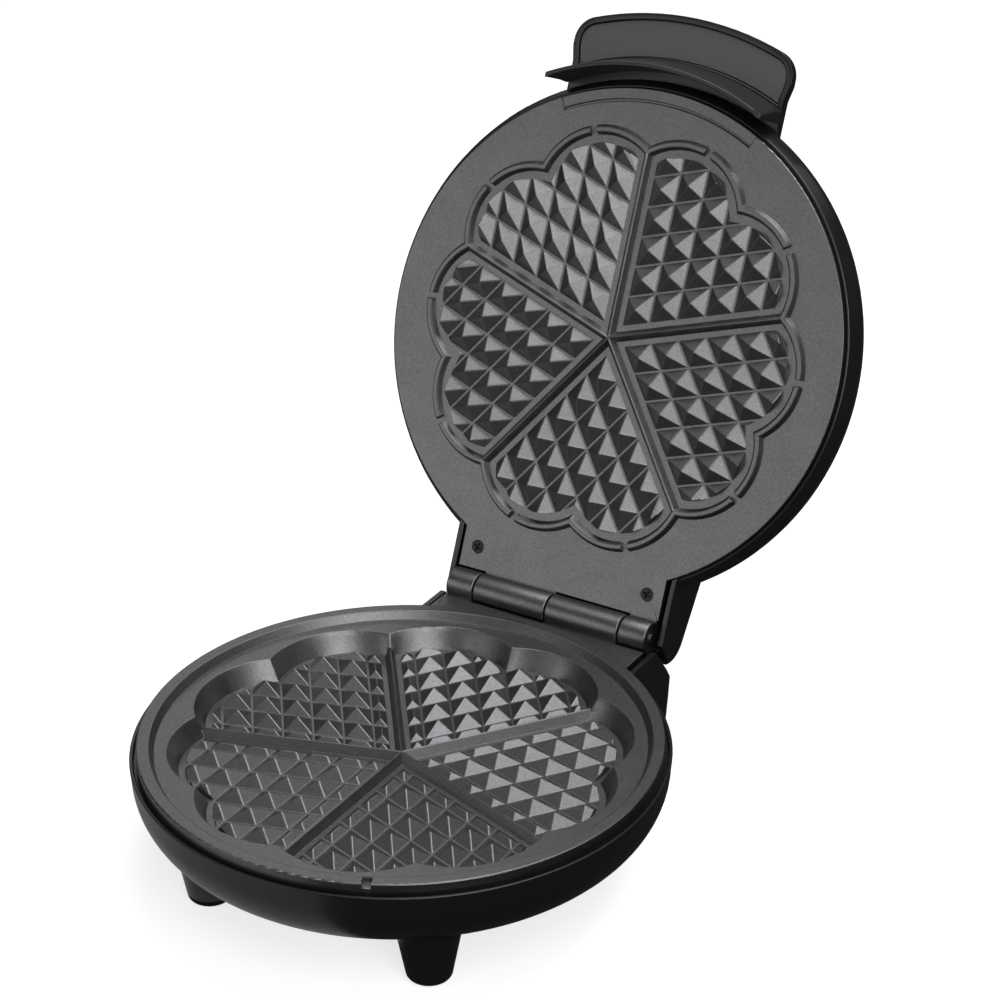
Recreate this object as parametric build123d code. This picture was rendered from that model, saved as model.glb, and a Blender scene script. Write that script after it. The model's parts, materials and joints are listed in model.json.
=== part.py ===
from build123d import *
import os
from math import cos, radians, sin, sqrt

# Heart waffle maker, standing open. Millimetres, Z up, X along the hinge, Y from the front to the hinge.
# Everything is drawn about the middle of the round base plate, with z = 0 on the plate's flat land.
# The lid is drawn closed over the base, then turned open about the hinge, and at the end the whole
# object is moved so that its origin lies on the table under the middle of the open machine.

# ---- driving dimensions ----
FLOOR_Z = -60.0                 # the table

HINGE_Y = 126.8                 # hinge axis, parallel to X
HINGE_Z = 2.8
OPEN_ANGLE = 113.5              # how far the lid stands open, against its stop

PLATE_RADIUS = 112.5            # base plate
RING_TOP = 3.5                  # raised ring round the base plate
RING_INNER = 107.0
RING_DRAFT = 2.0
LAND_BOTTOM = -3.0
POCKET_DEPTH = 9.1
LOBES = 10                      # two round lobes for each of the five hearts
HEARTS = 5
LOBE_CENTRE = 60.7              # the lobes' arcs: distance of their centres, and their radius
LOBE_RADIUS = 38.9
LOBE_DRAFT = 4.6                # how much smaller the arcs are on the pocket's floor
CASTING_WALL = 3.4
FIRST_DIVIDER = -90.0           # direction of the divider that points to the front

PYRAMID = 4.3                   # height of the pyramids
PITCH = 13.7                    # spacing of their rows, measured along a divider
VALLEY = 1.0                    # flat between two rows
BASE_LINES = [4.2] + [11.35 + PITCH * row for row in range(8)]  # valleys from a divider, narrow first row
LID_LINES = [4.6 + PITCH * row for row in range(8)]
BASE_FIELD_RADIUS = 31.3        # the lobes' arcs that trim the pyramids
LID_FIELD_RADIUS = 26.2

LID_PLATE_RADIUS = 113.0
LID_LAND = 4.5                  # the lid plate's land, facing down when the lid is closed
LID_LAND_BACK = 8.0
LID_CASTING_BACK = 9.5
GROOVE_DEPTH = 1.8              # groove in the lid plate's rim, on the handle's side
RIDGE_CENTRE = 62.3             # the ridge that closes each lobe on the lid plate
RIDGE_RADIUS = 34.6
RIDGE_WIDTH = 4.6
RIDGE_HEIGHT = 2.5
VENT_WIDTH = 3.0

TAB_HALF = 52.5                 # tabs of both plates, towards the hinge
TAB_END = 118.8
BARREL_RADIUS = 7.5
KNUCKLE_GAP = 0.3
KNUCKLE_SPLIT = 38.0
BARREL_HALF = 52.0
PIN_RADIUS = 2.5
PIN_CLEARANCE = 0.05

SHELL_WALL = 2.5
BASE_RADIUS = 115.5
BASE_RIM = -1.2
BASE_CORNER = 27.0              # radius between the base's side and its underside
BASE_CORNER_Z = -7.0
BASE_BOTTOM = BASE_CORNER_Z - BASE_CORNER
BLOCK_HALF = 57.0               # rear block of the base, and rear cover of the lid
BLOCK_RIM = 3.0
BLOCK_BOTTOM = -46.0

LID_RADIUS = 117.5
LID_RIM = 7.0                   # the lid's rim is narrower than its side, and laps the plate's edge
LID_RIM_RADIUS = 114.5
LID_CORNER = 26.0
LID_CORNER_Z = 12.0
LID_DOME = 3.0
COVER_RIM = 5.2
COVER_WALL = 2.7

HANDLE_BOTTOM = 16.0
HANDLE_TOP = 24.0
HANDLE_HALF = 55.5
HANDLE_CREST = 148.0
HANDLE_CORNER = 12.0
HANDLE_ROUND = 4.6              # radius round the back of the grip
PANEL_BORDER = 3.0
PANEL_GROOVE = 0.4
PANEL_DEPTH = 1.0

GUARD_ROOT = 126.8
GUARD_TIP = 123.5
GUARD_TIP_Z = -7.0
GUARD_HALF = 54.6

FRONT_FOOT = (55.0, -66.5)
REAR_FOOT = (42.0, 120.5)
FOOT_TOP_RADIUS = 14.3
FOOT_TIP_RADIUS = 9.4
FOOT_ROUND = 3.0
PAD_HEIGHT = 1.5

HEATER_RADIUS = 62.0            # tubular heaters under and over the castings
HEATER_TUBE = 3.25
HEATER_ENDS = (65, 115)
SCREW_CIRCLE = 78.0
SCREW_ANGLES = (30, 150, 270)
SCREW_PLACES = [(SCREW_CIRCLE * cos(radians(a)), SCREW_CIRCLE * sin(radians(a))) for a in SCREW_ANGLES]
LID_SCREWS = ((-44.5, 108.4), (44.5, 108.4))

LAMPS_X = (-11.0, 11.0)
LAMPS_Y = -74.0
LAMP_RADIUS = 3.5

GLAND_X = -26.0                 # where the supply cord enters, in the block's rear wall
GLAND_Z = -30.0
GLAND_RADIUS = 5.2
CORD_RADIUS = 3.4


# ---- helpers ----
def disc(radius, bottom, top):
    """Round plate about Z between two heights."""
    return Pos(0, 0, bottom) * Cylinder(radius, top - bottom, align=(Align.CENTER, Align.CENTER, Align.MIN))


def rod(radius, bottom, top, x, y):
    """Upright cylinder at x, y."""
    return Pos(x, y, 0) * disc(radius, bottom, top)


def block(x0, x1, y0, y1, z0, z1):
    """Box between two corners."""
    return Pos((x0 + x1) / 2, (y0 + y1) / 2, (z0 + z1) / 2) * Box(x1 - x0, y1 - y0, z1 - z0)


def turned(points):
    """Solid of revolution about Z from a closed outline of (radius, height) points."""
    return revolve(Plane.XZ * make_face(Polyline(points, close=True)), Axis.Z)


def side_prism(outline, half):
    """Prism across the machine, from a closed wire drawn in the YZ plane."""
    return extrude(Plane.YZ * make_face(outline), half, both=True)


def along_x(radius, x0, x1, y=HINGE_Y, z=HINGE_Z):
    """Cylinder along X between x0 and x1."""
    return Pos((x0 + x1) / 2, y, z) * Rot(0, 90, 0) * Cylinder(radius, x1 - x0)


def polar(radius, angle):
    """Point in the XY plane from a radius and an angle in degrees."""
    return (radius * cos(radians(angle)), radius * sin(radians(angle)))


def lobed(centre, radius, height):
    """Flower outline of ten arcs, as a face at a height. Neighbouring arcs meet in a cusp."""
    half_step = 180 / LOBES
    reach = centre * cos(radians(half_step))
    cusp = reach + sqrt(radius ** 2 - (centre * sin(radians(half_step))) ** 2)
    arcs = []
    for lobe in range(LOBES):
        angle = lobe * 360 / LOBES
        start = polar(cusp, angle - half_step)
        end = polar(cusp, angle + half_step)
        arcs.append(ThreePointArc(start, polar(centre + radius, angle), end))
    return Pos(0, 0, height) * make_face(arcs)


def lobed_prism(centre, radius, bottom, top):
    """Straight-walled solid with the flower outline."""
    return extrude(lobed(centre, radius, bottom), top - bottom)


def ridge_rows(angle, side, lines):
    """Triangular ridges between lines, parallel to the divider at angle, on its side +1 or -1."""
    across = sin(radians(360 / HEARTS))
    slope = PYRAMID / ((PITCH - VALLEY) / 2)
    points = [(lines[0], -1.0)]
    for low, high in zip(lines, lines[1:]):
        half = (high - low - VALLEY) / 2
        crest = ((low + high) / 2, slope * half)
        points += [(low, 0), (low + VALLEY / 2, 0), crest, (high - VALLEY / 2, 0)]
    points += [(lines[-1], 0), (lines[-1], -1.0)]
    section = Plane.YZ * make_face(Polyline([(side * across * y, z) for y, z in points], close=True))
    return Rot(0, 0, angle) * Pos(-10, 0, 0) * extrude(section, 125)


def pyramid_field(lines, centre, radius):
    """Pyramids of one heart on z = 0: two sets of ridges crossed, and trimmed to the lobes."""
    first = ridge_rows(FIRST_DIVIDER, 1, lines)
    second = ridge_rows(FIRST_DIVIDER + 360 / HEARTS, -1, lines)
    return first & second & lobed_prism(centre, radius, -1, PYRAMID + 1)


def divider(half_width, height, length):
    """Wedge-shaped bar from the middle to a cusp, standing on z = 0, along +X."""
    outline = Polyline((-half_width, 0), (-0.35, height), (0.35, height), (half_width, 0), close=True)
    return extrude(Plane.YZ * make_face(outline), length)


def hearts(shape):
    """The same shape five times, one for each heart."""
    copies = [Rot(0, 0, heart * 360 / HEARTS) * shape for heart in range(HEARTS)]
    return copies[0].fuse(*copies[1:])


def knuckle(x0, x1, web_bottom, web_top):
    """Hinge barrel with the web that ties it to its plate's tab, bored for the pin."""
    barrel = along_x(BARREL_RADIUS, x0, x1)
    web = block(x0, x1, TAB_END - 3, HINGE_Y, web_bottom, web_top)
    return fillet(barrel.edges().filter_by(GeomType.CIRCLE), 0.8) + web


def opened(shape):
    """Turn a part of the lid from closed to its open rest position."""
    return shape.rotate(Axis((0, HINGE_Y, HINGE_Z), (1, 0, 0)), -OPEN_ANGLE)


def join(first, *rest):
    """One solid from several that touch or overlap."""
    return first.fuse(*rest)


# ---- base ----
def base_plate():
    casting = disc(PLATE_RADIUS, LAND_BOTTOM, RING_TOP)
    casting = fillet(casting.edges().group_by(Axis.Z)[-1], 0.6)
    casting -= turned([(0, 0), (RING_INNER - RING_DRAFT, 0), (RING_INNER, RING_TOP), (RING_INNER, 9), (0, 9)])
    tab = block(-TAB_HALF, TAB_HALF, 90, TAB_END, LAND_BOTTOM, 0) - disc(RING_INNER, -9, 9)
    pan = lobed_prism(LOBE_CENTRE, LOBE_RADIUS + CASTING_WALL, -POCKET_DEPTH - CASTING_WALL, -1)
    rim = lobed(LOBE_CENTRE, LOBE_RADIUS, 0)
    floor = lobed(LOBE_CENTRE, LOBE_RADIUS - LOBE_DRAFT, -POCKET_DEPTH)
    pocket = loft([floor, rim], ruled=True)
    low, high = KNUCKLE_GAP, KNUCKLE_SPLIT - KNUCKLE_GAP
    knuckles = [knuckle(-BARREL_HALF, -KNUCKLE_SPLIT - KNUCKLE_GAP, -4.5, 0), knuckle(low, high, -4.5, 0)]
    plate = join(casting, tab, pan, *knuckles) - pocket
    bars = hearts(Rot(0, 0, FIRST_DIVIDER) * divider(2.2, 4.1, 88.5))
    fields = hearts(pyramid_field(BASE_LINES, LOBE_CENTRE, BASE_FIELD_RADIUS))
    lift = Pos(0, 0, -POCKET_DEPTH)
    posts = [rod(4.5, -26, -POCKET_DEPTH - 1, x, y) for x, y in SCREW_PLACES]
    plate = join(plate, lift * bars, lift * fields, *posts)
    for x, y in SCREW_PLACES:
        plate -= rod(1.6, -27, -13.5, x, y)
    plate -= Pos(*polar(RING_INNER + 3, -64.5), RING_TOP) * Rot(0, 0, -64.5) * Box(5, 3.6, 4)
    return plate - along_x(PIN_RADIUS + PIN_CLEARANCE, -60, 60)


def bowl(inset):
    """Round bowl of the base: the outside with inset 0, the inside with inset = wall."""
    side = BASE_RADIUS - inset
    corner = BASE_CORNER - inset
    middle = BASE_RADIUS - BASE_CORNER - 0.5
    diagonal = corner * cos(radians(45))
    lines = [
        Line((0, BASE_RIM), (side, BASE_RIM)),
        Line((side, BASE_RIM), (middle + corner, BASE_CORNER_Z)),
        ThreePointArc((middle + corner, BASE_CORNER_Z), (middle + diagonal, BASE_CORNER_Z - diagonal),
                      (middle, BASE_CORNER_Z - corner)),
        Line((middle, BASE_CORNER_Z - corner), (0, BASE_CORNER_Z - corner)),
        Line((0, BASE_CORNER_Z - corner), (0, BASE_RIM)),
    ]
    return revolve(Plane.XZ * make_face(lines), Axis.Z)


def rear_block(inset):
    """Block under the hinge: its profile slopes down behind the barrels."""
    top = BASE_RIM
    outline = Polyline(
        (70, top), (123 - inset, top), (133.6 - inset, -15.3), (136.7 - inset, -20.2),
        (135.2 - inset, -31.7), (132.8 - inset, BLOCK_BOTTOM + inset), (104 + inset, BLOCK_BOTTOM + inset),
        (96, BASE_BOTTOM + inset), (70, BASE_BOTTOM + inset), close=True)
    return side_prism(outline, BLOCK_HALF - inset)


def base_shell():
    outside = bowl(0) + rear_block(0)
    shell = outside - bowl(SHELL_WALL - 0.8) - rear_block(BLOCK_RIM)
    shell -= along_x(BARREL_RADIUS + 1.5, -BLOCK_HALF + BLOCK_RIM, BLOCK_HALF - BLOCK_RIM)
    shell -= block(-BLOCK_HALF + BLOCK_RIM, BLOCK_HALF - BLOCK_RIM, 100, 122, -6, 9)
    inside = bowl(0.4) + rear_block(0.4)
    ledge = (disc(120, -6.2, LAND_BOTTOM - 0.1) - disc(107, -9, 0)) & inside
    ledge -= block(-BLOCK_HALF, BLOCK_HALF, 90, 140, -9, 0)
    bosses = [rod(5.5, BASE_BOTTOM + 0.5, -26.1, x, y) for x, y in SCREW_PLACES]
    foot_bosses = [rod(4, BASE_BOTTOM + 0.5, -26, side * FRONT_FOOT[0], FRONT_FOOT[1]) for side in (-1, 1)]
    foot_bosses += [rod(4, BLOCK_BOTTOM + 0.5, -38, side * REAR_FOOT[0], REAR_FOOT[1]) for side in (-1, 1)]
    shell = join(shell, ledge, *bosses, *foot_bosses)
    for x, y in SCREW_PLACES:
        shell = shell - rod(2.1, -40, -20, x, y) - rod(4.2, -40, BASE_BOTTOM + 3.5, x, y)
    for side in (-1, 1):
        shell -= rod(1.6, -40, -28, side * FRONT_FOOT[0], FRONT_FOOT[1])
        shell -= rod(1.6, -50, -40, side * REAR_FOOT[0], REAR_FOOT[1])
    for slot in range(5):
        shell -= block(-24, 24, 10 + slot * 7, 13 + slot * 7, -40, -30)
    gland_hole = Pos(GLAND_X, 133, GLAND_Z) * Rot(90, 0, 0) * Cylinder(GLAND_RADIUS, 20)
    return shell - gland_hole


def foot(top_radius, bottom, top):
    """Tapered foot with a rounded tip, hollowed for its pad and its screw."""
    cone = Pos(0, 0, (bottom + top) / 2) * Cone(FOOT_TIP_RADIUS, top_radius, top - bottom)
    cone = fillet(cone.edges().group_by(Axis.Z)[0], FOOT_ROUND)
    return cone - disc(4.3, bottom - 1, bottom + PAD_HEIGHT - 0.5) - disc(1.8, bottom, top + 1) \
        - disc(3.4, bottom, bottom + 6)


def front_feet():
    top = -27.0
    slope = (FOOT_TOP_RADIUS - FOOT_TIP_RADIUS) / (BASE_BOTTOM - FLOOR_Z)
    tip = FLOOR_Z + 0.5
    single = foot(FOOT_TIP_RADIUS + slope * (top - tip), tip, top)
    pair = [Pos(side * FRONT_FOOT[0], FRONT_FOOT[1], 0) * single - bowl(0) for side in (-1, 1)]
    return Compound(pair)


def rear_feet():
    single = foot(11.5, FLOOR_Z + 0.5, BLOCK_BOTTOM)
    return Compound([Pos(side * REAR_FOOT[0], REAR_FOOT[1], 0) * single for side in (-1, 1)])


def foot_places():
    return [(side * x, y) for x, y in (FRONT_FOOT, REAR_FOOT) for side in (-1, 1)]


def foot_pads():
    return Compound([rod(4.2, FLOOR_Z, FLOOR_Z + PAD_HEIGHT, x, y) for x, y in foot_places()])


def foot_screws():
    screws = []
    for x, y in foot_places():
        top = -30.0 if y < 0 else -41.0
        head = FLOOR_Z + 4.5
        screws.append(join(rod(1.55, head, top, x, y), rod(3.1, head, head + 2, x, y)))
    return Compound(screws)


def base_plate_screws():
    screws = []
    for x, y in SCREW_PLACES:
        head = rod(3.8, BASE_BOTTOM + 1.2, BASE_BOTTOM + 3.4, x, y)
        screws.append(join(head, rod(1.55, BASE_BOTTOM + 2, -15, x, y)))
    return Compound(screws)


def heater(height, lead):
    """Tubular heater: an open ring with both ends bent towards lead (+1 up, -1 down)."""
    tube = Plane.XZ * Pos(HEATER_RADIUS, height) * Circle(HEATER_TUBE)
    ring = Rot(0, 0, 115) * revolve(tube, Axis.Z, 310)
    ends = []
    for angle in HEATER_ENDS:
        x, y = polar(HEATER_RADIUS, angle)
        tip = height + lead * 9
        ends.append(Pos(x, y, height) * Sphere(HEATER_TUBE))
        ends.append(rod(HEATER_TUBE, min(height, tip), max(height, tip), x, y))
        ends.append(rod(1.2, min(height, tip + lead * 5), max(height, tip + lead * 5), x, y))
    return join(ring, *ends)


def heater_clips(face, lead):
    """Four U-shaped straps that hold the heater to the back of its casting."""
    clips = []
    for angle in (20, 160, 230, 310):
        low, high = sorted((face, face + lead * 9))
        strap = block(HEATER_RADIUS - 7, HEATER_RADIUS + 7, -4, 4, low, high)
        low, high = sorted((face - lead, face + lead * 7.2))
        strap -= block(HEATER_RADIUS - 3.4, HEATER_RADIUS + 3.4, -5, 5, low, high)
        clips.append(Rot(0, 0, angle) * strap)
    return Compound(clips)


def heat_shield(height, edge, holes):
    """Shallow dish between a heater and its shell, its rim towards the plate. Holes are (x, y, radius)."""
    towards = 1 if edge > height else -1
    radius = 96.0
    sheet = 0.8
    dish = turned([(0, height), (radius, height), (radius, edge), (radius - sheet, edge),
                   (radius - sheet, height + towards * sheet), (0, height + towards * sheet)])
    for x, y, hole in [(*polar(HEATER_RADIUS, angle), 5) for angle in HEATER_ENDS] + holes:
        dish -= rod(hole, -80, 80, x, y)
    return dish


def thermal_fuse():
    body = along_x(2, -6, 6, y=84, z=-26.6)
    lead = along_x(0.5, -10, 10, y=84, z=-26.6)
    return join(body, lead)


def terminal_block():
    body = block(-10, 22, 112, 124, -42.9, -34)
    for screw in range(3):
        body -= rod(1.8, -38, -30, -4 + screw * 10, 118)
    return body


def wire(*points):
    """Insulated lead of straight runs with rounded corners."""
    path = FilletPolyline(*points, radius=4)
    section = Plane(origin=path @ 0, z_dir=path % 0) * Circle(1.1)
    return sweep(section, path=path)


def base_wiring():
    leads = []
    for angle, x in zip(HEATER_ENDS, (16, -4)):
        start_x, start_y = polar(HEATER_RADIUS, angle)
        start = (start_x, start_y + 1.4, -28.4)
        leads.append(wire(start, (x, 100, -28.4), (x, 106, -36.5), (x, 111.8, -36.5)))
    return Compound(leads)


def cord_gland():
    """Bushing in the rear wall with a collar on each side."""
    wall = Pos(GLAND_X, 133, GLAND_Z)
    turn = Rot(90, 0, 0)
    body = wall * turn * Cylinder(GLAND_RADIUS - 0.05, 12)
    outer = Pos(0, 5.2, 0) * wall * turn * Cylinder(7, 3)
    inner = Pos(0, -2.9, 0) * wall * turn * Cylinder(6.4, 2)
    bore = wall * turn * Cylinder(CORD_RADIUS, 40)
    return join(body, outer, inner) - bore


def cord_clamp():
    """Small bridge that grips the cord inside the block."""
    bridge = block(GLAND_X - 9, GLAND_X + 9, 117, 123, -42.9, GLAND_Z + 6)
    return bridge - Pos(GLAND_X, 120, GLAND_Z) * Rot(90, 0, 0) * Cylinder(CORD_RADIUS, 20)


def hinge_pin():
    return along_x(PIN_RADIUS, -BARREL_HALF - 0.6, BARREL_HALF + 0.6)


# ---- lid, drawn closed ----
def lid_plate():
    casting = disc(LID_PLATE_RADIUS, LID_LAND, LID_LAND_BACK)
    casting = fillet(casting.edges().group_by(Axis.Z)[0], 0.4)
    tab = block(-TAB_HALF, TAB_HALF, 90, TAB_END, LID_LAND, LID_LAND_BACK)
    core = disc(100, LID_LAND_BACK - 1, LID_CASTING_BACK)
    knuckles = [knuckle(-KNUCKLE_SPLIT + KNUCKLE_GAP, -KNUCKLE_GAP, LID_LAND, 9.5),
                knuckle(KNUCKLE_SPLIT + KNUCKLE_GAP, BARREL_HALF, LID_LAND, 9.5)]
    plate = join(casting, tab, core, *knuckles)
    step = disc(120, 0, LID_LAND + 0.5) - disc(RING_INNER, -1, 9)
    groove = disc(RING_INNER + 0.9, 0, LID_LAND + GROOVE_DEPTH) - disc(RING_INNER - 0.1, -1, 9)
    sector = extrude(make_face([Line((0, 0), polar(140, -116)), Line(polar(140, -116), polar(140, -64)),
                                Line(polar(140, -64), (0, 0))]), 20)
    plate -= (step + groove) & sector
    outer = lobed(RIDGE_CENTRE, RIDGE_RADIUS, LID_LAND)
    crest = lobed(RIDGE_CENTRE, RIDGE_RADIUS - 1.2, LID_LAND - RIDGE_HEIGHT)
    inner = lobed(RIDGE_CENTRE, RIDGE_RADIUS - RIDGE_WIDTH, LID_LAND)
    inner_crest = lobed(RIDGE_CENTRE, RIDGE_RADIUS - RIDGE_WIDTH + 1.2, LID_LAND - RIDGE_HEIGHT)
    ridge = loft([crest, outer], ruled=True) - loft([inner_crest, inner], ruled=True)
    for lobe in range(LOBES):
        ridge -= Rot(0, 0, lobe * 360 / LOBES) * block(88, 100, -VENT_WIDTH / 2, VENT_WIDTH / 2, 0, LID_LAND)
    turn_over = Pos(0, 0, LID_LAND) * Rot(180, 0, 0)
    bars = turn_over * hearts(Rot(0, 0, -FIRST_DIVIDER) * divider(2.2, 3.0, 84.5))
    field = mirror(pyramid_field(LID_LINES, RIDGE_CENTRE, LID_FIELD_RADIUS), about=Plane.XY)
    fields = Pos(0, 0, LID_LAND) * hearts(field)
    plate = join(plate, ridge, bars, fields)
    for x, y in LID_SCREWS:
        head = Pos(x, y, LID_LAND + 0.9) * Cone(3.3, 1.7, 1.8)
        plate = plate - head - rod(1.7, 0, 20, x, y)
    return plate - along_x(PIN_RADIUS + PIN_CLEARANCE, -60, 60)


def hood(inset):
    """Domed round hood of the lid: the outside with inset 0, the inside with inset = wall."""
    side = LID_RADIUS - inset
    rim = LID_RIM_RADIUS - inset
    corner = LID_CORNER - inset
    middle = LID_RADIUS - LID_CORNER
    diagonal = corner * cos(radians(45))
    crown = LID_CORNER_Z + corner
    lines = [
        Line((0, LID_RIM), (rim, LID_RIM)),
        Line((rim, LID_RIM), (side, LID_CORNER_Z)),
        ThreePointArc((side, LID_CORNER_Z), (middle + diagonal, LID_CORNER_Z + diagonal), (middle, crown)),
        Bezier((middle, crown), (middle / 2, crown + LID_DOME), (0, crown + LID_DOME)),
        Line((0, crown + LID_DOME), (0, LID_RIM)),
    ]
    return revolve(Plane.XZ * make_face(lines), Axis.Z)


def rear_cover(inset):
    """Raised cover over the hinge end of the lid."""
    lines = [
        Line((70, COVER_RIM), (129.8 - inset, COVER_RIM)),
        Line((129.8 - inset, COVER_RIM), (139.1 - inset, 18)),
        TangentArc((129 - inset, 28.1 - inset), (139.1 - inset, 18), tangent=(35, -8.1)),
        Line((129 - inset, 28.1 - inset), (94, 36.2 - inset)),
        Line((94, 36.2 - inset), (70, 36.2 - inset)),
        Line((70, 36.2 - inset), (70, COVER_RIM)),
    ]
    cover = side_prism(lines, BLOCK_HALF - inset)
    if inset:
        return cover
    top = cover.faces().filter_by(lambda face: face.normal_at().Z > 0.5 and face.center().Y > 95)
    sides = top.edges().filter_by(lambda edge: abs(edge.center().X) > BLOCK_HALF - 0.1)
    return fillet(sides, 3)


def handle_outline():
    side = HANDLE_HALF
    crest_y = -sqrt(HANDLE_CREST ** 2 - side ** 2)
    neck = side - 1.5
    lines = [
        Line((-neck, -100), (-neck, -119)),
        Line((-neck, -119), (-side, -126)),
        Line((-side, -126), (-side, crest_y)),
        ThreePointArc((-side, crest_y), (0, -HANDLE_CREST), (side, crest_y)),
        Line((side, crest_y), (side, -126)),
        Line((side, -126), (neck, -119)),
        Line((neck, -119), (neck, -100)),
        Line((neck, -100), (-neck, -100)),
    ]
    face = make_face(lines)
    corners = face.vertices().filter_by(lambda vertex: vertex.Y < -130)
    return fillet(corners, HANDLE_CORNER)


def panel_outline(gap):
    """Area of the handle's inlay, a gap inside the border, from the guard's root to the crest."""
    shrunk = offset(handle_outline(), amount=-PANEL_BORDER - gap)
    return shrunk - Circle(GUARD_ROOT + 1.0 + gap)


def handle():
    grip = extrude(Pos(0, 0, HANDLE_BOTTOM) * handle_outline(), HANDLE_TOP - HANDLE_BOTTOM)
    grip = fillet(grip.edges().group_by(Axis.Z)[-1], HANDLE_ROUND)
    grip = chamfer(grip.edges().group_by(Axis.Z)[0], 0.4)
    recess = extrude(Pos(0, 0, HANDLE_BOTTOM) * panel_outline(0), PANEL_DEPTH + 1.5)
    return grip - recess


def lid_shell():
    shell = hood(0) + rear_cover(0) + handle()
    inner = BLOCK_HALF - BLOCK_RIM
    shell = shell - hood(SHELL_WALL) - rear_cover(COVER_WALL)
    shell -= disc(LID_PLATE_RADIUS + 0.3, 0, LID_LAND_BACK + 0.1)
    shell -= block(-inner, inner, 100, 124, 0, LID_LAND_BACK + 1.5)
    shell -= along_x(BARREL_RADIUS + 1.6, -inner, inner)
    ledge = disc(LID_RIM_RADIUS - 0.5, LID_LAND_BACK + 0.1, LID_LAND_BACK + 2.4) - disc(108, 0, 40)
    ledge -= block(-BLOCK_HALF, BLOCK_HALF, 60, 140, 0, 40)
    bosses = [rod(4, LID_LAND_BACK + 0.1, 31, x, y) for x, y in LID_SCREWS]
    shell = join(shell, ledge, *bosses)
    for x, y in LID_SCREWS:
        shell -= rod(1.5, 0, 20, x, y)
    for x in LAMPS_X:
        shell -= rod(LAMP_RADIUS + 0.05, 30, 60, x, LAMPS_Y)
    return shell


def lid_screws():
    """Countersunk cross-head screws, flush with the land of the lid plate."""
    screws = []
    for x, y in LID_SCREWS:
        head = Pos(x, y, LID_LAND + 0.9) * Cone(3.15, 1.55, 1.6)
        screw = join(head, rod(1.45, LID_LAND + 1, 18, x, y))
        for slot in (0, 90):
            screw -= Pos(x, y, LID_LAND + 0.6) * Rot(0, 0, slot + 20) * Box(3.8, 0.9, 1.4)
        screws.append(screw)
    return Compound(screws)


def handle_panel():
    return extrude(Pos(0, 0, HANDLE_BOTTOM + PANEL_DEPTH) * panel_outline(PANEL_GROOVE), 1.4)


def finger_guard():
    """Curved wall, thick at the handle and leaning in to a thin free edge."""
    section = make_face(Polyline((GUARD_ROOT, HANDLE_BOTTOM), (GUARD_ROOT - 0.6, 8), (GUARD_TIP, GUARD_TIP_Z),
                                 (GUARD_TIP - 2, GUARD_TIP_Z), (GUARD_ROOT - 5, 8),
                                 (GUARD_ROOT - 5.4, HANDLE_BOTTOM), close=True))
    wall = revolve(Plane.XZ * section, Axis.Z, 80)
    wall = Rot(0, 0, -130) * wall
    wall &= block(-GUARD_HALF, GUARD_HALF, -140, -100, -20, 30)
    ends = wall.faces().filter_by(lambda face: abs(face.center().X) > GUARD_HALF - 0.1).edges()
    return chamfer(ends.filter_by(lambda edge: edge.center().Z < -5), 0.8)


def thermostat():
    body = rod(9, LID_CASTING_BACK, LID_CASTING_BACK + 8, 24, 20)
    tabs = [block(x - 1.6, x + 1.6, 17, 23, LID_CASTING_BACK + 7, LID_CASTING_BACK + 12) for x in (19, 29)]
    return join(body, *tabs)


def lid_wiring():
    right, left = [polar(HEATER_RADIUS, angle) for angle in HEATER_ENDS]
    level = 28.4
    return Compound([
        wire((left[0], left[1] - 1.3, level), (left[0], 20, level), (-11, -20, level), (-11, -68.2, level)),
        wire((right[0], right[1] - 1.3, level), (29, 20, level), (29, 20, 23.2)),
    ])


def lamp_lens(x):
    """Small domed lens that shows through the crown of the lid."""
    lens = rod(LAMP_RADIUS, 34.4, 39.2, x, LAMPS_Y)
    collar = rod(LAMP_RADIUS + 1.2, 33.6, 34.6, x, LAMPS_Y)
    lens = fillet(lens.edges().group_by(Axis.Z)[-1], 1.2)
    return join(lens, collar)


def lamp_holder():
    """Tray under the crown with a well for each bulb."""
    tray = block(-18, 18, LAMPS_Y - 5.5, LAMPS_Y + 5.5, 26, 33.5)
    for x in LAMPS_X:
        tray -= rod(3.0, 28, 40, x, LAMPS_Y)
    return tray


def neon_bulbs():
    bulbs = []
    for x in LAMPS_X:
        glass = rod(2.6, 28, 30.6, x, LAMPS_Y)
        bulbs.append(join(glass, Pos(x, LAMPS_Y, 30.6) * Sphere(2.6)))
    return Compound(bulbs)


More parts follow.
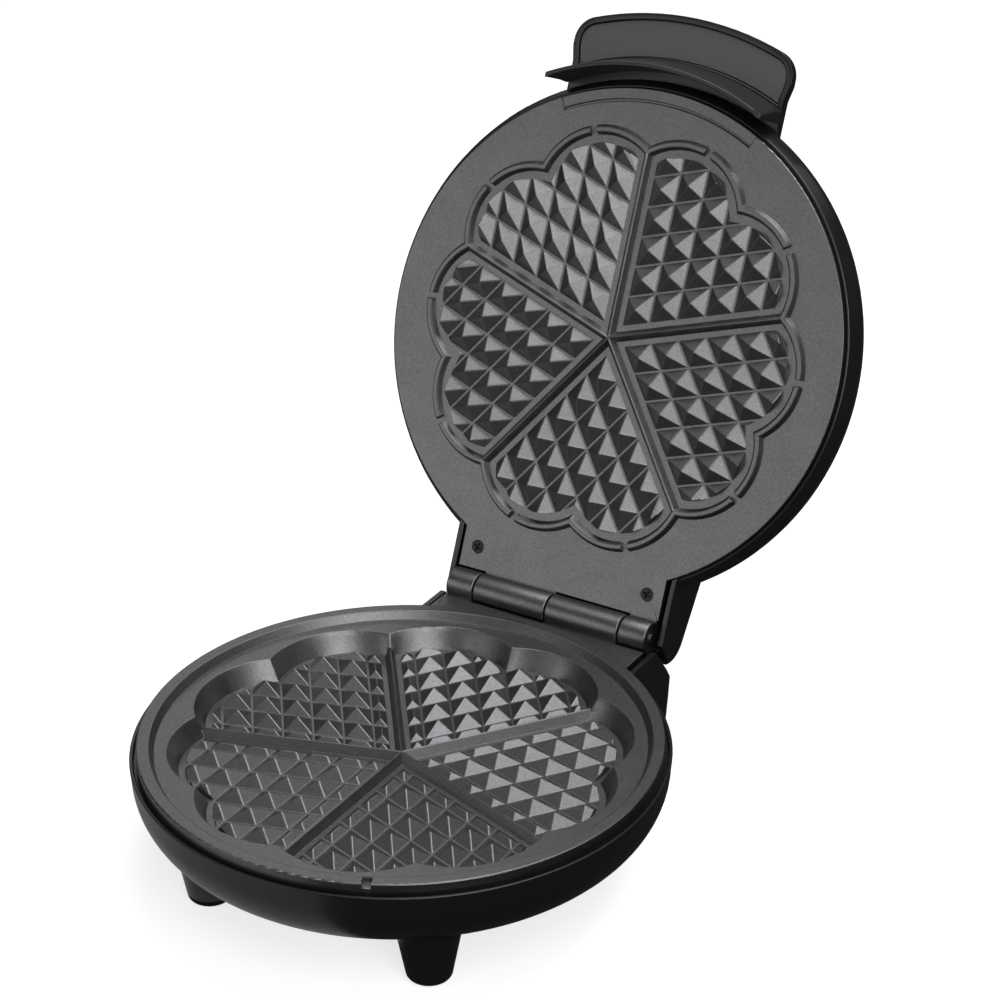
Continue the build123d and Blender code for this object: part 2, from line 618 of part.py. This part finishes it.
# ---- the whole machine ----
BASE_PARTS = {
    "base_plate": base_plate(),
    "base_shell": base_shell(),
    "front_feet": front_feet(),
    "rear_feet": rear_feet(),
    "foot_pads": foot_pads(),
    "foot_screws": foot_screws(),
    "base_plate_screws": base_plate_screws(),
    "base_heater": heater(-POCKET_DEPTH - CASTING_WALL - HEATER_TUBE - 0.05, -1),
    "base_heater_clips": heater_clips(-POCKET_DEPTH - CASTING_WALL, -1),
    "base_heat_shield": heat_shield(-24.2, -15, [(x, y, 5.2) for x, y in SCREW_PLACES]),
    "thermal_fuse": thermal_fuse(),
    "terminal_block": terminal_block(),
    "base_wiring": base_wiring(),
    "cord_gland": cord_gland(),
    "cord_clamp": cord_clamp(),
    "hinge_pin": hinge_pin(),
}
LID_PARTS = {
    "lid_plate": lid_plate(),
    "lid_shell": lid_shell(),
    "lid_screws": lid_screws(),
    "handle_panel": handle_panel(),
    "finger_guard": finger_guard(),
    "lid_heater": heater(LID_CASTING_BACK + HEATER_TUBE + 0.05, 1),
    "lid_heater_clips": heater_clips(LID_CASTING_BACK, 1),
    "lid_heat_shield": heat_shield(23.0, 14, [(24, 20, 11)]),
    "thermostat": thermostat(),
    "lid_wiring": lid_wiring(),
    "power_lamp_lens": lamp_lens(LAMPS_X[0]),
    "ready_lamp_lens": lamp_lens(LAMPS_X[1]),
    "lamp_holder": lamp_holder(),
    "neon_bulbs": neon_bulbs(),
}

parts = dict(BASE_PARTS)
for name, closed in LID_PARTS.items():
    parts[name] = opened(closed)
box = Compound(list(parts.values())).bounding_box()
origin = ((box.min.X + box.max.X) / 2, (box.min.Y + box.max.Y) / 2, FLOOR_Z)
os.makedirs("parts", exist_ok=True)
for name, part in parts.items():
    placed = Pos(-origin[0], -origin[1], -origin[2]) * part
    export_step(placed, f"parts/{name}.step")
print("hinge at", HINGE_Y - origin[1], HINGE_Z - origin[2], "box", box)
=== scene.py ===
# %% [markdown]
# # A heart waffle maker, standing open
#
# The CAD model already holds the true shape, size and motion of every piece. Blender's job here is
# the look: the soft edges that a casting and a moulding have, and a finish for each material.
# Lengths are in metres. +X runs along the hinge, +Y from the front of the base to the hinge, and
# +Z is up.

# %% [markdown]
# ## Load the frame
#
# The frame brings in one mesh for each piece of the real machine: shells, hot plates, hinge pin,
# heaters, wires. They could be modelled again by hand in Blender, but then the visible shape would
# drift away from the shape that is simulated. So every piece starts as its CAD mesh, in its true
# place.

import json
import math

import bmesh
import bpy
from mathutils import Matrix, Vector


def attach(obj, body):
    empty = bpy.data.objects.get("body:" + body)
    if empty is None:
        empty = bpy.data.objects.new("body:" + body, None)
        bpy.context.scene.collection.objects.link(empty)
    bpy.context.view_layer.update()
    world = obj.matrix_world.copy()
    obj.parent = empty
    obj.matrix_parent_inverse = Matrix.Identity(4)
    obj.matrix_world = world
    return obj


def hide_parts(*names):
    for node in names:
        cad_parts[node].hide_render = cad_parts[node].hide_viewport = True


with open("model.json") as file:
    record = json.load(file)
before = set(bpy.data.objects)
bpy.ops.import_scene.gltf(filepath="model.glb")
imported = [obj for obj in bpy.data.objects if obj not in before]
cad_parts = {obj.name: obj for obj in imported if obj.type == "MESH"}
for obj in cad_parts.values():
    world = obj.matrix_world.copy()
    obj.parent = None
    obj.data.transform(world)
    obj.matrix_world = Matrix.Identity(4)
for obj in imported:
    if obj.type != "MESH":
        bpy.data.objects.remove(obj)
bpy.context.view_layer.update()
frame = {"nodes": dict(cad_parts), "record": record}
MM = 0.001

# %% [markdown]
# ## Camera
#
# A waffle maker is shown best from the front, a little to the right and from above, so that both hot
# plates are seen. A wide lens close by would show them too, but it would stretch the near plate into
# an egg. A long lens from further away keeps both plates round.

# %% Camera
VIEW_AZIMUTH = math.radians(31.06)
VIEW_ELEVATION = math.radians(27.40)
VIEW_ROLL = math.radians(-0.14)
VIEW_DISTANCE = 1.32
VIEW_TARGET = Vector((0.0132, -0.0095, 0.1524))
LENS_LENGTH_MM = 111.87
SENSOR_WIDTH_MM = 36.0
FARTHEST_SEEN = 50


def direction(azimuth, elevation):
    """Unit vector from the object at an azimuth (0 the front, right positive) and an elevation."""
    return Vector((
        math.sin(azimuth) * math.cos(elevation),
        -math.cos(azimuth) * math.cos(elevation),
        math.sin(elevation),
    ))


camera_data = bpy.data.cameras.new("camera")
camera_data.lens = LENS_LENGTH_MM
camera_data.sensor_width = SENSOR_WIDTH_MM
camera_data.clip_end = FARTHEST_SEEN
camera = bpy.data.objects.new("camera", camera_data)
bpy.context.scene.collection.objects.link(camera)
towards_camera = direction(VIEW_AZIMUTH, VIEW_ELEVATION)
turn = towards_camera.to_track_quat("Z", "Y").to_matrix().to_4x4()
turn = turn @ Matrix.Rotation(VIEW_ROLL, 4, "Z")
camera.matrix_world = Matrix.Translation(VIEW_TARGET + VIEW_DISTANCE * towards_camera) @ turn
bpy.context.scene.camera = camera
print("camera stands at", [round(v, 3) for v in camera.matrix_world.translation])

# %% [markdown]
# ## Small helpers
#
# Paint and plastic colours are given as sRGB hex values, but a renderer adds up light in
# linear values, so one function turns the first into the second. Shader trees could be laid out by
# hand in the node editor. A function that adds one node with its settings and links keeps each tree
# readable as a few lines.

# %% Helpers
bpy.context.scene.view_settings.view_transform = "Standard"


def linear(hex_code):
    """Linear RGBA of an sRGB hex colour such as '2b2b2d'."""
    channels = [int(hex_code[start:start + 2], 16) / 255 for start in (0, 2, 4)]
    return [c / 12.92 if c <= 0.04045 else ((c + 0.055) / 1.055) ** 2.4 for c in channels] + [1.0]


def add(tree, kind, inputs=None, **settings):
    """Add a shader node with its settings. Each input gets a value, or a link from an output."""
    node = tree.nodes.new("ShaderNode" + kind)
    for name, value in settings.items():
        setattr(node, name, value)
    for name, value in (inputs or {}).items():
        if isinstance(value, bpy.types.NodeSocket):
            tree.links.new(value, node.inputs[name])
        else:
            node.inputs[name].default_value = value
    return node


def material(name):
    """Material with an empty node tree, and that tree."""
    made = bpy.data.materials.new(name)
    made.use_nodes = True
    made.node_tree.nodes.clear()
    return made, made.node_tree


def object_from(bm, name):
    """Scene object at the origin that takes over a bmesh."""
    mesh = bpy.data.meshes.new(name)
    bm.to_mesh(mesh)
    bm.free()
    made = bpy.data.objects.new(name, mesh)
    bpy.context.scene.collection.objects.link(made)
    return made


print("sRGB mid grey is", round(linear("808080")[0], 3), "in linear light")

# %% [markdown]
# ## Floor and world
#
# A product like this stands on a sweep of white card that is lit until it goes almost white, and only
# a faint shadow stays under the feet. It could be done with strong lamps on a white floor, but they
# would also light the machine. Here the floor glows a little by itself, and mirrors and bounced light
# leave it out, so the black mouldings stay black.

# %% Floor and world
FLOOR_HALF_WIDTH = 6.0
FLOOR_GLOW = 0.72
WORLD_GLOW = 0.035
WHITE = linear("ffffff")


def pale_floor():
    """White card: matt, so that the shadow is soft, with a glow that stands for its own lamps."""
    made, tree = material("pale studio floor")
    diffuse = add(tree, "BsdfDiffuse", {"Color": linear("d8d8d8")})
    glow = add(tree, "Emission", {"Color": WHITE, "Strength": FLOOR_GLOW})
    both = add(tree, "AddShader", {0: diffuse.outputs[0], 1: glow.outputs[0]})
    add(tree, "OutputMaterial", {"Surface": both.outputs[0]})
    return made


bm = bmesh.new()
bmesh.ops.create_grid(bm, x_segments=1, y_segments=1, size=FLOOR_HALF_WIDTH)
floor = object_from(bm, "studio_floor")
floor.data.materials.append(pale_floor())
floor.visible_glossy = False
floor.visible_diffuse = False

world = bpy.data.worlds.new("studio")
bpy.context.scene.world = world
world.use_nodes = True
backdrop = world.node_tree.nodes["Background"]
backdrop.inputs["Color"].default_value = WHITE
backdrop.inputs["Strength"].default_value = WORLD_GLOW
print("floor is", 2 * FLOOR_HALF_WIDTH, "m wide")

# %% [markdown]
# ## Lights
#
# Dark satin metal and gloss black plastic show hardly any colour of their own. What the eye reads is
# the reflection of large bright shapes, and how it changes from one pyramid facet to the next. A
# picture of a studio could be wrapped round the scene, but then no light could be moved by itself.
# Soft boxes give that control: the one in front on the right lights the lid's facets, the one
# overhead the flat rims, and weak ones on the left and behind keep the other facets from going black.
# A white card on the table lights the undersides, as in a real studio.

# %% Lights


def soft_box(name, centre, size, brightness, aim=VIEW_TARGET):
    """Rectangular area light that faces its aim. Brightness is what the eye would see of it."""
    data = bpy.data.lights.new(name, "AREA")
    data.shape = "RECTANGLE"
    data.size, data.size_y = size
    data.energy = brightness * math.pi * size[0] * size[1]
    lamp = bpy.data.objects.new(name, data)
    bpy.context.scene.collection.objects.link(lamp)
    out = Vector(centre) - Vector(aim)
    facing = out.to_track_quat("Z", "Y").to_matrix().to_4x4()
    lamp.matrix_world = Matrix.Translation(centre) @ facing
    print(name, "is", size, "m, brightness", brightness)
    return lamp


def around(azimuth, elevation, distance):
    """Point at a distance from the object, its azimuth and elevation in degrees."""
    return VIEW_TARGET + distance * direction(math.radians(azimuth), math.radians(elevation))


soft_box("key right front", around(48, 32, 1.5), (1.0, 1.3), 3.3)
soft_box("overhead", (0.14, 0.27, 1.15), (1.0, 0.8), 3.7, (0.14, 0.27, 0.0))
soft_box("fill front left", around(-30, 14, 1.8), (1.2, 1.0), 1.45)
soft_box("left side", around(-90, 45, 1.8), (1.0, 1.0), 0.45)
soft_box("behind left", around(-150, 28, 2.0), (1.5, 0.7), 1.1)
card = soft_box("white card on the table", (-0.28, -0.26, 0.004), (0.62, 0.52), 0.34,
                (-0.28, -0.26, 1.0))
card.visible_camera = False

# %% [markdown]
# ## Finish of the hot plates
#
# The hot plates are cast aluminium, blasted and then sprayed with a dark non-stick coating. The
# coating is thin and full of fine flakes, so it shines softly like metal and has a grain like fine
# sand. An image of the coating could be used, but noise in the piece's own coordinates has a true
# size in millimetres, needs no UV map and moves with the lid.

# %% Finish of the hot plates
COATING_GRAIN = 0.9 * MM
COATING_CLOUD = 14 * MM
COATING_RELIEF = 0.06 * MM


def surface(tree, inputs):
    """End a tree with the main shader, its inputs set or linked."""
    shader = add(tree, "BsdfPrincipled", inputs)
    add(tree, "OutputMaterial", {"Surface": shader.outputs["BSDF"]})


def nonstick_casting():
    """Cast aluminium under a dark non-stick coating: satin, with a fine sprayed grain.

    It gives the eye soft grey reflections that differ from facet to facet, and a sandy sparkle. The
    real grain is about 0.1 mm, too fine to show here, so it is drawn coarser.
    """
    made, tree = material("non-stick coated cast aluminium")
    place = add(tree, "TexCoord").outputs["Object"]
    grain = add(tree, "TexNoise", {"Vector": place, "Scale": 1 / COATING_GRAIN, "Detail": 3.0,
                                   "Roughness": 0.6})
    cloud = add(tree, "TexNoise", {"Vector": place, "Scale": 1 / COATING_CLOUD, "Detail": 2.0})
    tint = add(tree, "Mix", {0: grain.outputs[0], "A": linear("545456"), "B": linear("8a8a8c")},
               data_type="RGBA")
    rough = add(tree, "MapRange", {"Value": cloud.outputs[0], "To Min": 0.36, "To Max": 0.44})
    bump = add(tree, "Bump", {"Height": grain.outputs[0], "Strength": 0.6,
                              "Distance": COATING_RELIEF})
    surface(tree, {"Base Color": tint.outputs["Result"], "Roughness": rough.outputs[0],
                   "Normal": bump.outputs[0], "Metallic": 1.0})
    return made


print("the coating's grain is drawn at", round(COATING_GRAIN / MM, 2), "mm")

# %% [markdown]
# ## Finish of the shells
#
# The two shells, the rear block and the handle are moulded in black heat-proof plastic, in a polished
# mould. A moulding is never quite flat: it sinks by a few hundredths of a millimetre, and its shine
# is a little uneven where it was touched. Both could be left out, but then long reflections look
# ruled. Two slow noises are enough: one bends the surface, the other changes its roughness.

# %% Finish of the shells
SINK_WIDTH = 9 * MM
SINK_DEPTH = 0.05 * MM
SMEAR_WIDTH = 30 * MM


def gloss_black():
    """Polished black thermoset.

    It gives the eye a nearly black body with long soft reflections that grow brighter at a glancing
    angle.
    """
    made, tree = material("polished black thermoset")
    place = add(tree, "TexCoord").outputs["Object"]
    sink = add(tree, "TexNoise", {"Vector": place, "Scale": 1 / SINK_WIDTH, "Detail": 1.0})
    smear = add(tree, "TexNoise", {"Vector": place, "Scale": 1 / SMEAR_WIDTH, "Detail": 3.0})
    rough = add(tree, "MapRange", {"Value": smear.outputs[0], "To Min": 0.26, "To Max": 0.34})
    bump = add(tree, "Bump", {"Height": sink.outputs[0], "Strength": 0.05, "Distance": SINK_DEPTH})
    surface(tree, {"Base Color": linear("1a1a1b"), "Roughness": rough.outputs[0],
                   "Normal": bump.outputs[0]})
    return made


print("the shells sink by up to", round(SINK_DEPTH / MM, 2), "mm")

# %% [markdown]
# ## Other finishes
#
# The small pieces are made of well-known materials: drawn steel for the hinge pin, blackened steel
# screws, nylon, rubber, silicone leads, rolled aluminium. Each could have a shader of its own, but
# they differ only in colour, shine, metal or not, and the size of their grain, so one function serves
# them all. The grain is drawn at about a millimetre, coarser than the real one, because a finer one
# would not show.

# %% Other finishes
GRAIN_RELIEF = 0.02 * MM
UNEVEN_SHINE = 0.2


def plain(name, colour, roughness, metallic=0.0, grain_mm=1.0, **more):
    """Finish in one colour, with a fine grain in its shine and its surface."""
    made, tree = material(name)
    place = add(tree, "TexCoord").outputs["Object"]
    grain = add(tree, "TexNoise", {"Vector": place, "Scale": 1 / (grain_mm * MM), "Detail": 2.0})
    rough = add(tree, "MapRange", {"Value": grain.outputs[0],
                                   "To Min": roughness * (1 - UNEVEN_SHINE),
                                   "To Max": roughness * (1 + UNEVEN_SHINE)})
    bump = add(tree, "Bump", {"Height": grain.outputs[0], "Strength": 0.3,
                              "Distance": GRAIN_RELIEF})
    surface(tree, {"Base Color": linear(colour), "Roughness": rough.outputs[0],
                   "Normal": bump.outputs[0], "Metallic": metallic, **more})
    return made


finishes = {
    "gloss_shell": gloss_black(),
    "nonstick_casting": nonstick_casting(),
    # Painted plastic: a flat mid grey that reads as a panel set into the black handle.
    "handle_inlay": plain("matt grey painted inlay", "4c4c4e", 0.5, grain_mm=0.8),
    # Spark-eroded mould texture: a broad satin sheen along the curved guard.
    "guard_plastic": plain("satin black thermoset", "222223", 0.4, grain_mm=1.2),
    # Drawn rod: the pin's bright ends.
    "hinge_steel": plain("drawn steel", "8a8a8c", 0.3, 1.0, grain_mm=0.7),
    # Oiled black oxide: dark screw heads with a thin bright edge.
    "dark_screw_steel": plain("blackened screw steel", "2c2c2e", 0.35, 0.9, grain_mm=0.6),
    # Steel tube, brown from heat.
    "heater_sheath": plain("heat-stained steel sheath", "6b655e", 0.4, 1.0),
    # Mill-finish sheet: a bright mirror for the heat behind each plate.
    "shield_aluminium": plain("rolled aluminium", "c8c8ca", 0.3, 1.0),
    # Pressed rubber: dull black with no highlight.
    "pad_rubber": plain("soft black rubber", "161616", 0.8),
    # Uncoloured nylon: warm off-white.
    "terminal_nylon": plain("natural nylon", "d8d4c8", 0.5),
    # Extruded silicone: soft and chalky.
    "lead_silicone": plain("silicone lead", "c9c4b8", 0.6),
    # Moulded nylon: black with a low sheen.
    "gland_plastic": plain("black moulded nylon", "141414", 0.45),
    # Drawn brass can, tinned: pale metal.
    "fuse_metal": plain("tinned brass can", "a8a49a", 0.35, 1.0),
    # Clear coloured polycarbonate: a small glossy spot on the lid.
    "red_lens": plain("red polycarbonate lens", "b01510", 0.15, **{"Transmission Weight": 0.6}),
    "green_lens": plain("green polycarbonate lens", "12a03a", 0.15,
                        **{"Transmission Weight": 0.6}),
    # Blown glass: clear.
    "bulb_glass": plain("clear bulb glass", "e8e4de", 0.05, **{"Transmission Weight": 0.9}),
}
slots = {part["node"]: part["material_slot"] for part in frame["record"]["subparts"]}
for name, node in frame["nodes"].items():
    node.data.materials.clear()
    node.data.materials.append(finishes[slots[name]])
print(len(finishes), "finishes on", len(frame["nodes"]), "nodes")

# %% [markdown]
# ## Find the real corners
#
# A casting or a moulding has no knife edge: the mould's corners are worn and the coating fills them,
# so each corner catches a thin line of light. Blender could round every edge of the CAD mesh, but
# that mesh is made of triangles, and rounding the seams inside a curve spoils it. So flat patches are
# found first. An edge between two patches that meet at a steep angle is a real corner. Narrow strips
# belong to a radius that the CAD model already has, and are left as they are.

# %% Find the real corners
SAME_PLANE = math.radians(0.2)
GENTLE_BEND = math.radians(0.4)
SHARP = math.radians(33)
INNER_CORNER = 0.3
NARROW_STRIP = 0.55 * MM
SMALL_PATCH = 2.5 * MM * MM
FLAT_PATCH = 80 * MM * MM
SAME_POINT = 0.001 * MM


def merged_copy(name):
    """Bmesh of a CAD node with its loose triangles joined."""
    bm = bmesh.new()
    bm.from_mesh(frame["nodes"][name].data)
    bmesh.ops.remove_doubles(bm, verts=bm.verts, dist=SAME_POINT)
    return bm


def flat_patches(bm):
    """Groups of neighbouring faces that lie in one plane."""
    waiting = set(bm.faces)
    patches = []
    while waiting:
        patch = [waiting.pop()]
        for face in patch:
            for edge in face.edges:
                for other in edge.link_faces:
                    if other in waiting and edge.calc_face_angle(math.pi) < SAME_PLANE:
                        waiting.remove(other)
                        patch.append(other)
        patches.append(patch)
    return patches


def mark_edges(bm):
    """Shade curved patches smooth, and mark how far each edge is rounded.

    Outer corners get the full radius and inner corners a smaller one. Smooth curves and the narrow
    strips of a radius that the CAD model already has get none.
    """
    wide = set()
    for patch in flat_patches(bm):
        bends = [edge.calc_face_angle(math.pi) for face in patch for edge in face.edges]
        curved = any(GENTLE_BEND < bend < SHARP for bend in bends)
        area = sum(face.calc_area() for face in patch)
        length = max(edge.calc_length() for face in patch for edge in face.edges)
        for face in patch:
            face.smooth = curved and area < FLAT_PATCH
        if area > SMALL_PATCH and area / length > NARROW_STRIP:
            wide.update(patch)
    weight = bm.edges.layers.float.new("bevel_weight_edge")
    for edge in bm.edges:
        if edge.calc_face_angle(0.0) > SHARP and wide.issuperset(edge.link_faces):
            edge[weight] = 1.0 if edge.is_convex else INNER_CORNER


print("a corner is an edge bent by more than", round(math.degrees(SHARP)), "degrees")

# %% [markdown]
# ## Round the corners of the hot plates
#
# The coated castings have crisp ridges and pyramids, with edges of about 0.4 mm radius. The radius
# could be modelled in CAD, but hundreds of tiny fillets make a CAD model slow and fragile. A Bevel
# modifier on a copy of the CAD mesh does the same for the eye, and the mesh that is simulated stays
# clean.

# %% Round the hot plates
CAST_EDGE = 0.4 * MM
body_of = {node: body for body, nodes in frame["record"]["behaviour"]["bodies"].items()
           for node in nodes}


def rounded(piece, name, width, segments=2):
    """Give a finished piece its edge radius, its finish and the place of its CAD node."""
    piece.data.materials.append(finishes[slots[name]])
    bevel = piece.modifiers.new("soft edges", "BEVEL")
    bevel.width = width
    bevel.segments = segments
    bevel.limit_method = "WEIGHT"
    bevel.use_clamp_overlap = False
    bevel.loop_slide = False
    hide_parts(name)
    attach(piece, body_of[name])


def cast_plate(name):
    """Casting with crisp flats: only the curved walls and fillets are shaded smooth."""
    bm = merged_copy(name)
    mark_edges(bm)
    curved = sum(face.smooth for face in bm.faces)
    print(name, "has", len(bm.faces), "faces,", curved, "of them curved")
    rounded(object_from(bm, name + "_finished"), name, CAST_EDGE)


cast_plate("base_plate")
cast_plate("lid_plate")

# %% [markdown]
# ## Round the mouldings
#
# Shells, guard, inlay and feet come out of steel moulds whose corners are rounded by about half a
# millimetre. They are gloss or satin, so shading faults would show at once. The same Bevel is used
# with one more segment. Weighted normals keep the flats looking flat while the radii stay smooth,
# which a plain smooth shading would not do.

# %% Round the mouldings
MOULDED_EDGES_MM = {
    "base_shell": 0.5,
    "lid_shell": 0.5,
    "finger_guard": 0.6,
    "handle_panel": 0.3,
    "front_feet": 0.5,
    "rear_feet": 0.5,
}
MOULDED_CORNER = math.radians(50)


def moulding(name, width):
    """Moulded piece: smooth all over, broken only at real corners."""
    bm = merged_copy(name)
    mark_edges(bm)
    print(name, "has", len(bm.faces), "faces before its edges are rounded")
    piece = object_from(bm, name + "_finished")
    piece.data.shade_smooth()
    piece.data.set_sharp_from_angle(angle=MOULDED_CORNER)
    rounded(piece, name, width, segments=3)
    even = piece.modifiers.new("flats stay flat", "WEIGHTED_NORMAL")
    even.mode = "FACE_AREA"
    even.keep_sharp = True


for name, width_mm in MOULDED_EDGES_MM.items():
    moulding(name, width_mm * MM)
